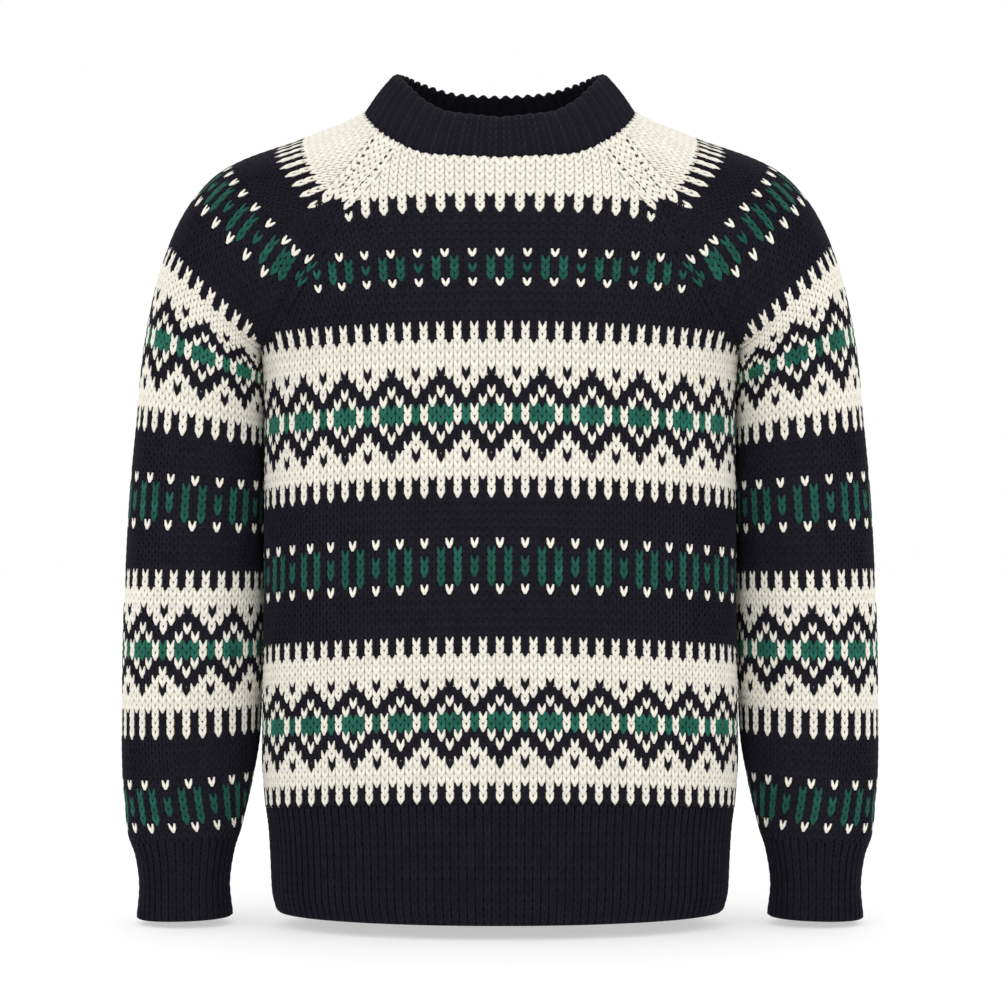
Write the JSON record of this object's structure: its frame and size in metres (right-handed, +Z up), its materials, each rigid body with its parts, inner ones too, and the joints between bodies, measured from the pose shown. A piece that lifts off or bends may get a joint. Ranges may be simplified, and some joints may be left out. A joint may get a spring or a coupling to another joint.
{
  "type": "fair isle jumper",
  "caption": "Raglan pullover jumper in stranded colourwork knit with ribbed neckband, hem and cuffs, filled out and hollow as if worn.",
  "frame": {"origin": "middle of the neck's base, level with the shoulder points where the wearer carries the jumper", "axes": "+Z up, -Y out of the jumper's front, +X towards the sleeve that a viewer in front sees on the right"},
  "size_m": [0.6148, 0.224, 0.6823],
  "materials": {
    "cream_wool": "undyed wool, stocking stitch",
    "navy_wool": "dyed wool, stocking stitch and rib",
    "green_wool": "dyed wool, stocking stitch"
  },
  "bodies": {
    "root": {"front": "cream_wool", "back": "cream_wool", "sleeve_right": "cream_wool", "sleeve_left": "cream_wool", "neckband": "navy_wool", "hem_band": "navy_wool", "cuff_right": "navy_wool", "cuff_left": "navy_wool"}
  },
  "joints": []
}
